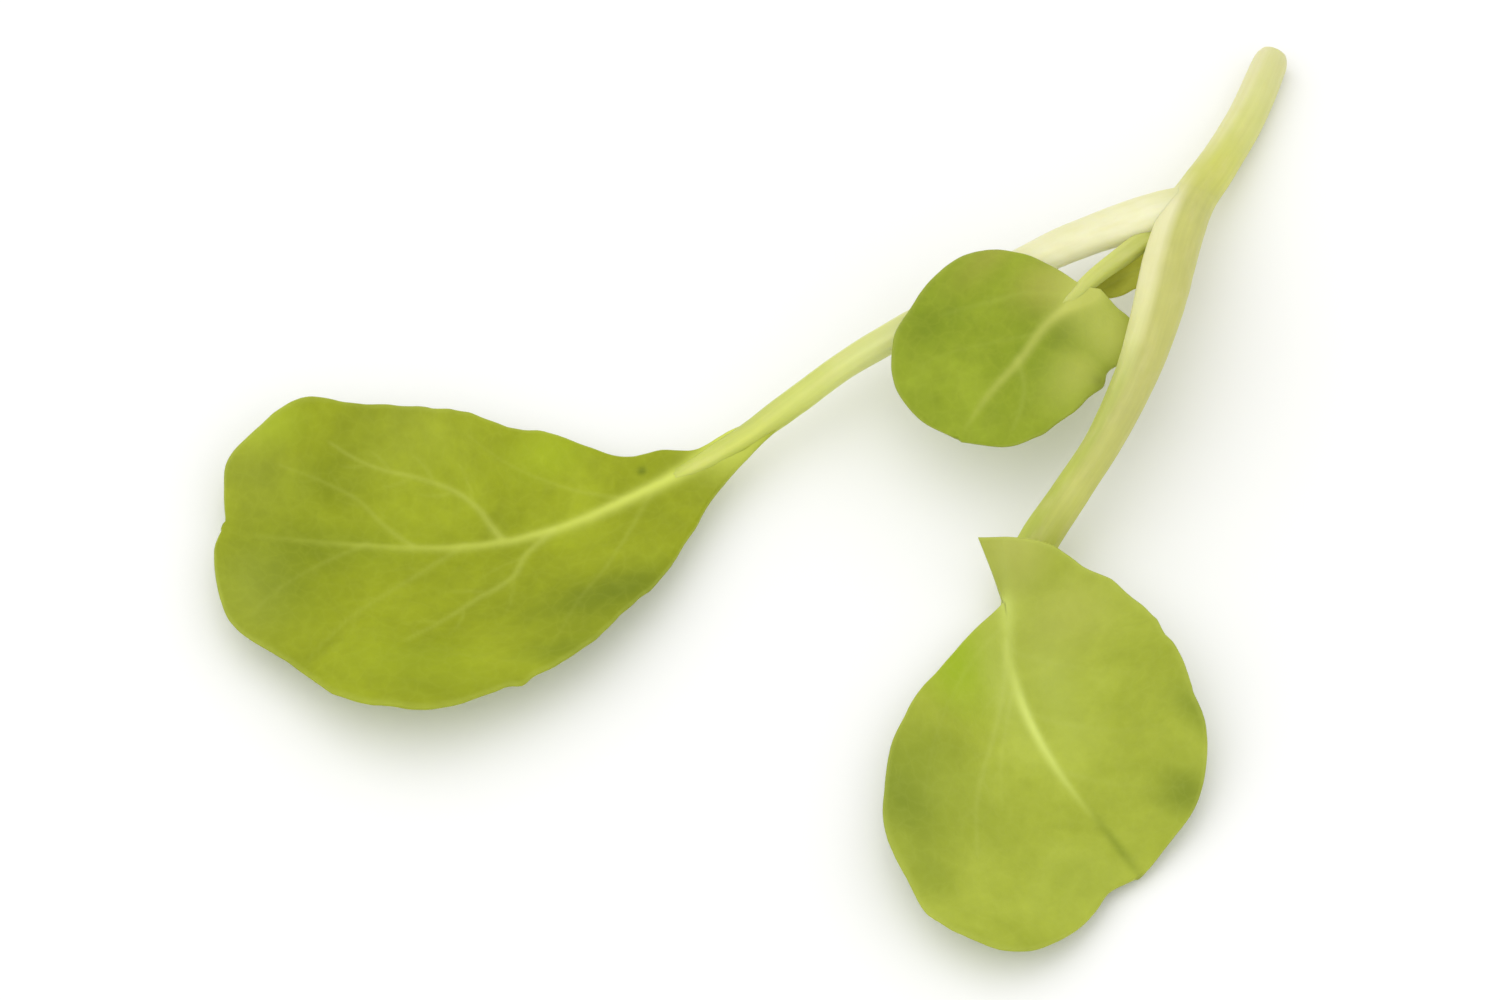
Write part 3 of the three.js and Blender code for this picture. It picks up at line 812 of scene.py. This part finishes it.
leafLook = {
    "deep": "#869014",
    "green": "#909a18",
    "fresh": "#9ba61f",
    "shadeAndSpotColour": "#5f6f10",
    "paintedLightColour": "#a6b822",
    "warm": "#a09c48",
    "pale": "#b6bf56",
    "net": "#b0ba42",
    "netAmount": 0.08,
    "netScale": 1.1,
    "vein": "#c3cb62",
    "veinAmount": 0.48,
    "rib": "#ccd560",
    "margin": "#b3bd58",
    "marginAmount": 0.25,
    "mottle": 0.3,
    "roughness": 0.5,
    "specular": 0.14,
}
lightLook = dict(leafLook, deep="#97a231", green="#a0ab38", fresh="#aab542", shadeAndSpotColour="#6b7b1a",
                 paintedLightColour="#93ad12",
                 warm="#b7b763", pale="#c0cb68", net="#b6c05a", netAmount=0.06, vein="#c0c96c",
                 rib="#cdd870", mottle=0.22,
                 roughness=0.55)
smallLook = dict(leafLook, deep="#7c8e1c", green="#879722", fresh="#92a229", warm="#a29a48",
                 pale="#bcc15c",
                 vein="#aab64e", rib="#bbc05e", margin="#a9b058")
underLook = dict(leafLook, deep="#a0ad55", green="#adb964", fresh="#b9c474", shadeAndSpotColour="#8e9c48",
                 paintedLightColour="#bac568",
                 net="#cdd492", vein="#cfd696", veinAmount=0.85, rib="#c8d070", roughness=0.62,
                 specular=0.3)
budLook = dict(leafLook, deep="#a3a538", green="#b6b844", fresh="#c4c656", shadeAndSpotColour="#84881c",
               paintedLightColour="#b4b84a",
               net="#a4a848", netAmount=0.1, vein="#aab050", rib="#b0b654", margin="#9a9c38",
               roughness=0.55)

leftBladeShape = {
    "midrib": [(-0.8, 2.4, 2.4), (-3.9, 0.6, 1.9), (-7.3, -1.0, 1.5), (-10.0, -2.1, 1.2),
               (-13.6, -3.0, 0.86), (-17.2, -3.4, 0.74), (-23.3, -3.2, 0.9), (-27.7, -2.9, 1.5),
               (-30.1, -2.6, 2.0)],
    "start": -4.4,
    "left": [(-4.4, 0.1), (-0.4, 1.15), (2.9, 2.45), (5.0, 4.1), (7.5, 6.0), (9.6, 7.3), (11.6, 9.0),
             (14.4, 10.5), (17.4, 12.1), (19.6, 12.5), (23.2, 11.4), (26.2, 8.9), (29.2, 6.3),
             (30.5, 1.9), (30.3, 0.3)],
    "right": [(-4.4, 0.1), (-0.4, 0.76), (2.2, 0.92), (3.7, 1.8), (5.9, 2.3), (8.6, 4.8), (11.6, 6.2),
              (15.2, 7.5), (19.1, 8.0), (22.8, 8.3), (26.4, 8.1), (28.8, 6.5), (30.6, 3.8), (30.5, 2.0),
              (30.15, 0.3)],
    "upper": [(0, 0, 1), (0, 0, 1)],
    "rise": {"left": [0.05, 0.16, 0.1], "right": [0.1, 0.2, 0.12]},
    "lobeLift": {"left": 0, "right": 0},
    "ridgeFrom": (0.0, 8.0),
    "cup": 0.008,
    "soft": 0.5,
    "wave": {"depth": 0.3, "count": 3.2, "phase": 0.4},
    "teeth": {"depth": 0.14, "count": 9},
    "ragged": 0.12,
    "nicks": {"left": [{"at": 0.509, "depth": -0.26, "width": 0.007},
                       {"at": 0.524, "depth": 0.12, "width": 0.009}],
              "right": []},
    "tipNotch": 0.4,
    "thickness": 0.36,
    "ridge": {"halfWidth": [0.66, 0.54, 0.42, 0.34, 0.27, 0.2],
              "above": [0.45, 0.28, 0.16, 0.1, 0.05, 0.0],
              "below": [0.85, 0.8, 0.7, 0.6, 0.42, 0.15], "pale": [1.0, 0.9, 0.6, 0.36, 0.14, 0.0],
              "side": [-0.15, 0.12, 0.25, 0.2, 0.2, 0.3]},
    "pillow": {"height": 0.16, "width": 1.1},
    "rolling": {"height": 0.42, "size": 6.5},
    "dimples": 0.06,
    "veinRelief": [0.07, 0.14],
    "paleBase": {"reach": 2.2, "amount": 0.7},
    "veins": {
        "left": [
            vein([(11.5, 0.3), (13.2, 1.4), (14.2, 2.9), (16.2, 4.0), (17.8, 5.3), (19.6, 7.2)], 0.24,
                 0.7, 5, 3.0),
            vein([(5.0, 0), (6.8, 1.4), (8.8, 3.2), (11.0, 5.4), (13.0, 8.2)], 0.2, 0.3, 4, 2.6),
            vein([(16.5, 0), (19.0, 2.0), (21.6, 4.4), (23.8, 7.0), (25.0, 9.0)], 0.2, 0.3, 5, 2.8),
            vein([(22.0, 0), (24.4, 1.6), (26.6, 3.6), (28.2, 5.8)], 0.18, 0.25, 4, 2.0),
        ],
        "right": [
            vein([(14.4, 0.1), (14.8, 0.9), (15.4, 2.0), (16.6, 3.1), (18.2, 3.8), (21.8, 4.7),
                  (24.6, 5.9)], 0.26, 0.85, 6, 2.4),
            vein([(7.0, 0), (8.6, 1.2), (10.6, 2.6), (13.0, 4.4), (15.6, 6.4)], 0.19, 0.28, 4, 1.8),
            vein([(19.5, 0), (21.2, 1.3), (22.7, 2.7), (24.8, 3.6), (27.6, 4.2)], 0.2, 0.4, 4, 1.9),
        ],
    },
    # painted shade along the lower margin that curls down, painted light on the upper margin, darker and
    # lighter patches, and one small dark spot
    "shadeLightAndSpotPatches": [
        patch((9.6, 6.0), (4.0, 1.5), -0.4),
        patch((12.5, 9.0), (2.5, 1.2), -0.3),
        patch((27.3, 3.4), (3.0, 3.2), -0.3),
        patch((23.6, 0.4), (4.5, 1.6), -0.2),
        patch((25.6, -3.6), (3.0, 2.0), -0.15),
        patch((10.0, -4.4), (3.0, 1.6), 0.3),
        patch((28.4, -6.4), (2.2, 1.8), 0.3),
        patch((19.0, 9.0), (4.0, 2.0), 0.15),
        patch((5.4, -1.2), (0.3, 0.25), -0.45),
    ],
    "warmth": [],
    "paleness": [
        patch((29.0, -4.0), (2.6, 4.0), 0.18),
        # painted light on the lit upper margin
        patch((19.0, -6.4), (5.0, 2.6), 0.12),
        patch((28.5, 4.5), (2.0, 4.0), 0.2),
    ],
    "seed": 2.0,
    "rows": 230,
    "columns": 78,
}

lowerBladeShape = {
    "midrib": [(14.5, -7.6, 1.65), (14.85, -11.3, 1.4), (15.9, -14.7, 1.0), (17.55, -17.9, 0.72),
               (19.6, -21.1, 0.6), (22.0, -24.8, 0.72)],
    "start": 0.0,
    "left": [(-2.95, -1.35), (-2.95, 0.4), (-2.3, 2.7), (-0.9, 4.7), (0.5, 6.6), (2.4, 8.1), (5.8, 8.8),
             (9.6, 8.9), (13.0, 8.3), (15.7, 6.8), (17.6, 4.5), (18.6, 1.8), (19.1, 0.3)],
    "right": [(0, 0.15), (1.3, 1.5), (3.0, 3.3), (4.5, 5.5), (5.8, 7.2), (7.3, 8.7), (9.2, 10.4),
              (11.4, 11.5), (14.6, 12.0), (17.0, 11.6), (19.2, 10.3), (20.4, 8.2), (20.45, 5.45),
              (19.85, 3.45), (19.15, 2.0), (19.1, 0.3)],
    "upper": [(0, 0, 1), (0, 0, 1)],
    "rise": {"left": [0.3, 0.26, 0.12], "right": [0.1, 0.12, 0.1]},
    "lobeLift": {"left": 0.8, "right": 0},
    "ridgeFrom": (-0.5, 2.5),
    "cup": 0.006,
    "soft": 0.5,
    "wave": {"depth": 0.25, "count": 2.6, "phase": 1.7},
    "teeth": {"depth": 0.12, "count": 8},
    "ragged": 0.1,
    "nicks": {"left": [], "right": []},
    "tipNotch": 0.1,
    "thickness": 0.36,
    "ridge": {"halfWidth": [0.6, 0.5, 0.4, 0.32, 0.2, 0.14], "above": [0.08, 0.14, 0.12, 0.06, 0.0, 0.0],
              "below": [0.6, 0.6, 0.55, 0.5, 0.4, 0.2], "pale": [0.3, 0.42, 0.92, 0.5, 0.0, 0.0],
              "side": [0.0, -0.15, -0.15, 0.0]},
    "pillow": {"height": 0.12, "width": 1.1},
    "rolling": {"height": 0.4, "size": 7.0},
    "dimples": 0.05,
    "veinRelief": [0.05, 0.13],
    "paleBase": {"reach": 1.6, "amount": 0.2},
    "veins": {
        "left": [
            vein([(3.0, 0), (4.2, 1.8), (5.6, 3.8), (7.6, 6.2)], 0.2, 0.2, 4, 2.2),
            vein([(7.0, 0), (8.8, 1.8), (10.6, 3.8), (12.2, 6.2)], 0.2, 0.22, 4, 2.2),
            vein([(11.0, 0), (13.0, 1.6), (14.8, 3.4), (16.0, 5.2)], 0.18, 0.16, 3, 1.8),
        ],
        "right": [
            vein([(2.6, 0.1), (3.9, 0.4), (5.5, 1.0), (7.7, 2.5), (9.3, 4.1), (11.0, 5.6), (13.4, 7.3)],
                 0.26, 0.5, 5, 2.4),
            vein([(5.6, 0.5), (7.6, 1.7), (9.1, 2.8), (11.5, 4.2)], 0.2, 0.3, 3, 1.8),
            vein([(1.6, 0.3), (3.6, 2.4), (6.4, 5.2), (9.4, 8.0)], 0.18, 0.16, 4, 2.2),
        ],
    },
    # painted light on the upper left half and painted shade along the curving left margin, with further
    # darker patches
    "shadeLightAndSpotPatches": [
        patch((3.4, -3.2), (2.6, 1.8), 0.42),
        patch((7.2, -6.2), (1.5, 1.8), -0.1),
        patch((9.0, -9.2), (3.0, 2.2), -0.42),
        patch((13.5, -10.6), (2.0, 1.3), -0.22),
        patch((10.5, -5.6), (4.5, 2.2), -0.12),
        patch((16.4, 5.0), (1.6, 1.5), -0.42),
        patch((12.5, 8.2), (2.4, 0.8), -0.35),
        patch((16.8, 0.05), (2.2, 0.3), -0.3),
        patch((17.6, -3.0), (2.2, 2.4), -0.12),
    ],
    "warmth": [
        patch((-2.4, 0.6), (2.4, 2.6), 0.55),
        patch((1.5, 3.6), (3.0, 3.0), 0.3),
    ],
    "paleness": [
        patch((0.6, 0.1), (3.2, 0.5), 0.3),
        patch((5.0, -1.0), (4.0, 1.0), 0.3),
        patch((6.0, 1.8), (4.0, 1.6), 0.25),
    ],
    "seed": 5.0,
    "rows": 220,
    "columns": 76,
}

smallBladeShape = {
    "midrib": [(19.0, 10.9, 5.2), (16.6, 8.2, 5.5), (14.9, 5.8, 5.6), (13.3, 3.5, 5.5), (11.8, 1.0, 5.3)],
    "start": 0.0,
    "left": [(-0.6, 0.7), (-0.4, 2.0), (-0.3, 3.4), (1.2, 4.6), (3.0, 4.5), (4.6, 4.8), (6.3, 4.6),
             (8.0, 4.2), (9.6, 3.7), (11.2, 2.7), (12.3, 0.3)],
    "right": [(0, 0.6), (0.2, 2.0), (0.8, 3.9), (2.0, 5.5), (3.8, 6.5), (6.0, 6.65), (8.1, 6.55),
              (9.9, 5.75), (11.4, 4.4), (12.35, 2.3), (12.3, 0.3)],
    "upper": [(0.05, 0, 1), (0.05, 0, 1)],
    "rise": {"left": [-0.05, -0.05, 0], "right": [0.05, 0.05, 0.05]},
    "lobeLift": {"left": 0, "right": 0},
    "ridgeFrom": (-0.3, 2.2),
    "cup": -0.006,
    "soft": 0.4,
    "wave": {"depth": 0.12, "count": 2.2, "phase": 0.8},
    "teeth": {"depth": 0.08, "count": 7},
    "ragged": 0.08,
    "nicks": {"left": [], "right": []},
    "tipNotch": 0.1,
    "thickness": 0.34,
    "ridge": {"halfWidth": [0.6, 0.42, 0.36, 0.3, 0.16], "above": [0.16, 0.09, 0.06, 0.03, 0.0],
              "below": [0.4, 0.35, 0.3, 0.2, 0.05], "pale": [0.9, 0.6, 0.52, 0.32, 0.0],
              "side": [0.5, 0.15, 0.3, 0.12, 0.1]},
    "pillow": {"height": 0.12, "width": 0.9},
    "rolling": {"height": 0.22, "size": 4.5},
    "dimples": 0.04,
    "veinRelief": [0.05, 0.1],
    "paleBase": {"reach": 2.0, "amount": 0.85},
    "veins": {
        "left": [
            vein([(6.3, 0.2), (6.7, 0.7), (7.5, 1.5), (8.8, 2.1), (10.2, 2.4)], 0.26, 0.7, 3, 1.2),
            vein([(1.0, 0.6), (2.2, 1.9), (3.4, 3.0), (4.6, 4.0)], 0.15, 0.2, 3, 1.1),
        ],
        "right": [
            vein([(0.9, 0.1), (1.8, 1.1), (2.7, 2.1), (4.0, 3.0), (5.2, 4.0), (6.4, 4.9)], 0.28, 0.5, 4,
                 1.5),
            vein([(4.4, 0), (6.0, 1.4), (8.0, 3.0), (9.8, 4.2)], 0.18, 0.28, 4, 1.3),
        ],
    },
    # painted shade beside the midrib, a dark nick at the edge, and darker patches
    "shadeLightAndSpotPatches": [
        patch((3.4, 1.2), (1.3, 0.7), -0.28),
        patch((4.4, 4.5), (0.5, 0.4), -0.5),
        patch((10.0, 1.0), (1.2, 0.9), -0.16),
        patch((8.0, -5.4), (1.6, 1.0), -0.15),
    ],
    "warmth": [
        patch((1.5, -1.5), (1.9, 1.8), 0.5),
        patch((2.0, -5.2), (2.4, 1.0), 0.4),
    ],
    "paleness": [
        patch((0.9, 3.4), (2.6, 2.4), 0.75),
        patch((4.6, 3.4), (2.6, 1.6), 0.6),
    ],
    "seed": 8.0,
    "rows": 160,
    "columns": 56,
}

budShape = {
    "midrib": [(22.9, 13.65, 3.7), (21.4, 12.65, 3.7), (20.3, 11.95, 3.6), (19.5, 11.45, 3.5)],
    "start": -1.4,
    "left": [(-1.4, 0.15), (0, 0.5), (1.4, 1.05), (2.9, 0.95), (4.1, 0.15)],
    "right": [(-1.4, 0.15), (0, 0.45), (1.4, 0.9), (2.9, 0.8), (4.1, 0.15)],
    "upper": [(0, -0.5, 1), (0, -0.4, 1)],
    "rise": {"left": [0.5, 0.6, 0.5], "right": [0.5, 0.6, 0.5]},
    "lobeLift": {"left": 0, "right": 0},
    "ridgeFrom": (-0.5, 0.8),
    "cup": 0,
    "soft": 0.15,
    "wave": {"depth": 0.08, "count": 2.0, "phase": 0},
    "teeth": {"depth": 0.06, "count": 5},
    "ragged": 0.04,
    "nicks": {"left": [], "right": []},
    "tipNotch": 0.1,
    "thickness": 0.3,
    "ridge": {"halfWidth": [0.25, 0.2, 0.16, 0.12], "above": [0.05, 0.03, 0.02, 0.0],
              "below": [0.3, 0.25, 0.2, 0.1], "pale": [0.4, 0.3, 0.2, 0.0], "side": [0.0, 0.0]},
    "pillow": {"height": 0.03, "width": 0.3},
    "rolling": {"height": 0.05, "size": 1.5},
    "dimples": 0.03,
    "veinRelief": [0.02, 0.03],
    "paleBase": {"reach": 0.4, "amount": 0.3},
    "veins": {
        "left": [vein([(0.8, 0), (1.6, 0.4), (2.4, 0.8)], 0.08, 0.4, 2, 0.4)],
        "right": [vein([(1.4, 0), (2.2, 0.4), (3.0, 0.8)], 0.08, 0.4, 2, 0.4)],
    },
    "shadeLightAndSpotPatches": [],
    "warmth": [],
    "paleness": [],
    "seed": 12.0,
    "rows": 70,
    "columns": 26,
}

leafUnder = bladeMaterial("leaf underside", underLook, "below")
leafUpper = bladeMaterial("leaf upper side", leafLook)
lightUpper = bladeMaterial("lower leaf upper side", lightLook)
smallUpper = bladeMaterial("small leaf upper side", smallLook)
budSkin = bladeMaterial("bud skin", budLook)

standIn(bladeMesh("leftLeafBlade", leftBladeShape, [leafUpper, leafUnder]), "left_leaf_blade")
standIn(bladeMesh("lowerLeafBlade", lowerBladeShape, [lightUpper, leafUnder]), "lower_leaf_blade")
standIn(bladeMesh("smallLeafBlade", smallBladeShape, [smallUpper, leafUnder]), "small_leaf_blade")
standIn(bladeMesh("budLeaf", budShape, [budSkin, budSkin]), "bud_leaf")
print("blades made")


# The table, the light and the camera

studio = {
    "tableColour": "#f4f4f2",
    "tableSize": 3.0,  # metres
    "world": 0.94,
    "keyPower": 0.96,
    "lampSize": 0.7,  # metres
    "keyPlace": (-0.2, 0.06, 0.46),
    "fillPower": 0.26,
    "fillPlace": (0.35, -0.3, 0.3),
}

photoFrame = {
    "pixelSize": 0.2,  # mm of the drawing that one pixel of the photograph shows
    "elevation": 60,  # degrees above the table
    "middle": (655.5, 413.5),  # pixel that is set in the middle of the view
    "anchor": (655, 414),  # pixel of the drawing's own zero point
    "width": 424,  # pixels of the photograph across the view
    "lens": 1000,
    "nearest": 0.01,  # metres
    "farthest": 20,
}


def makeTable():
    half = studio["tableSize"] / 2
    cornersOfTable = [(-half, -half, 0), (half, -half, 0), (half, half, 0), (-half, half, 0)]
    mesh = bpy.data.meshes.new("table")
    mesh.from_pydata(cornersOfTable, [], [(0, 1, 2, 3)])
    table = bpy.data.objects.new("table", mesh)
    bpy.context.scene.collection.objects.link(table)
    material, _, shader = newMaterial("table top")
    setInputs(shader, Base_Color=linear(studio["tableColour"]), Roughness=0.9, Specular_IOR_Level=0.1)
    mesh.materials.append(material)


def makeLamp(name, place, size, power):
    lamp = bpy.data.lights.new(name, "AREA")
    lamp.size, lamp.energy = size, power
    holder = bpy.data.objects.new(name, lamp)
    bpy.context.scene.collection.objects.link(holder)
    holder.location = place
    holder.rotation_euler = (-Vector(place)).to_track_quat("-Z", "Y").to_euler()
    holder.visible_camera = False


def makeCamera():
    px, py = photoFrame["middle"]
    ax, ay = photoFrame["anchor"]
    tilt = math.radians(photoFrame["elevation"])
    x = (px - ax) * photoFrame["pixelSize"] - middleOfOutline[0]
    y = (ay - py) * photoFrame["pixelSize"] / math.sin(tilt) - middleOfOutline[1]
    looked = Vector((x, y, 0)) * mm
    lensData = bpy.data.cameras.new("camera")
    lensData.lens = photoFrame["lens"]
    distance = photoFrame["width"] * photoFrame["pixelSize"] * mm * lensData.lens / lensData.sensor_width
    camera = bpy.data.objects.new("camera", lensData)
    bpy.context.scene.collection.objects.link(camera)
    camera.location = looked + Vector((0, -math.cos(tilt), math.sin(tilt))) * distance
    camera.rotation_euler = (math.pi / 2 - tilt, 0, 0)
    lensData.clip_start = photoFrame["nearest"]
    lensData.clip_end = photoFrame["farthest"]
    bpy.context.scene.camera = camera


makeTable()
makeLamp("key", studio["keyPlace"], studio["lampSize"], studio["keyPower"])
makeLamp("fill", studio["fillPlace"], studio["lampSize"], studio["fillPower"])
world = bpy.data.worlds.new("studio")
world.use_nodes = True
world.node_tree.nodes["Background"].inputs["Strength"].default_value = studio["world"]
world.node_tree.nodes["Background"].inputs["Color"].default_value = (1, 1, 1, 1)
bpy.context.scene.world = world
bpy.context.scene.view_settings.view_transform = "Standard"
makeCamera()
print("table, light and camera made")
